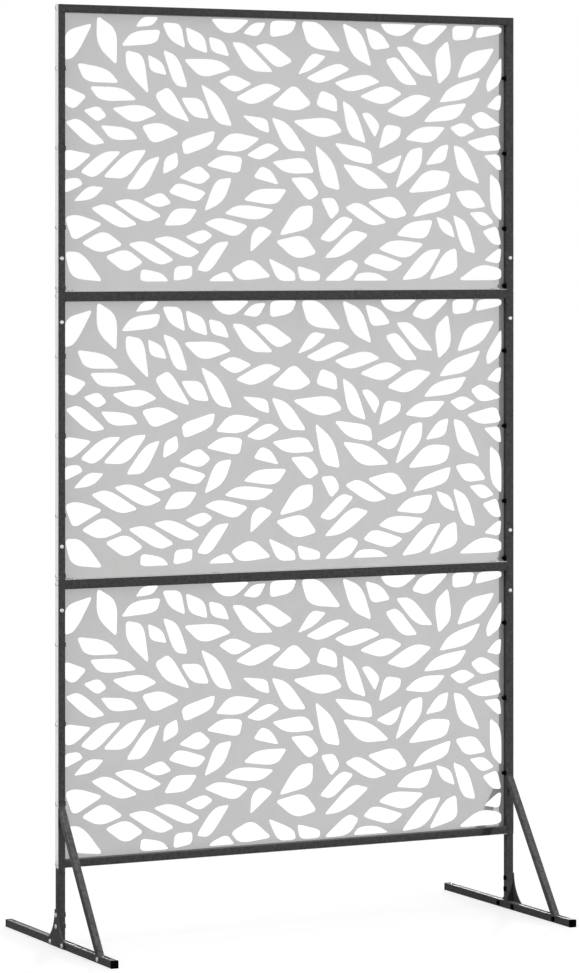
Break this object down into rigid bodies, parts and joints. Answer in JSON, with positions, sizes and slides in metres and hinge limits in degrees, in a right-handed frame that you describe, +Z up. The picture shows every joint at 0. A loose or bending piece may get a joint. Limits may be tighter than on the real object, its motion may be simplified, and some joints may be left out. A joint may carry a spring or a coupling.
{
  "type": "metal privacy screen",
  "caption": "Freestanding metal privacy screen: square-tube posts and rails bolted to stacked leaf-cut sheet panels, on braced bar feet with anchor holes.",
  "frame": {"origin": "on the ground, under the middle of the row of posts, which is also the middle of the feet", "axes": "+X across the screen to the right seen from the front, +Y from the braced front to the back, +Z up"},
  "size_m": [1.1092, 0.56, 1.98],
  "materials": {
    "frame_paint": "satin",
    "panel_paint": "satin",
    "zinc_steel": "satin",
    "black_steel": "satin",
    "black_plastic": "matte"
  },
  "bodies": {
    "root": {"bottom_rail": "frame_paint", "brace_bolts": "zinc_steel", "brace_left": "frame_paint", "brace_nuts": "black_steel", "brace_right": "frame_paint", "foot_cap_left_back": "black_plastic", "foot_cap_left_front": "black_plastic", "foot_cap_right_back": "black_plastic", "foot_cap_right_front": "black_plastic", "foot_plate_left": "frame_paint", "foot_plate_right": "frame_paint", "foot_tube_left": "frame_paint", "foot_tube_right": "frame_paint", "lower_mid_rail": "frame_paint", "lower_panel": "panel_paint", "lower_post_left": "frame_paint", "lower_post_right": "frame_paint", "lower_post_sleeve_left": "frame_paint", "lower_post_sleeve_right": "frame_paint", "middle_panel": "panel_paint", "middle_post_left": "frame_paint", "middle_post_right": "frame_paint", "panel_bolts": "zinc_steel", "panel_nuts": "black_steel", "plate_bolts": "zinc_steel", "plate_nuts": "black_steel", "post_cap_left": "black_plastic", "post_cap_right": "black_plastic", "rail_bolts": "zinc_steel", "rail_end_plugs": "black_plastic", "top_rail": "frame_paint", "upper_mid_rail": "frame_paint", "upper_panel": "panel_paint", "upper_post_left": "frame_paint", "upper_post_right": "frame_paint", "upper_post_sleeve_left": "frame_paint", "upper_post_sleeve_right": "frame_paint"}
  },
  "joints": []
}
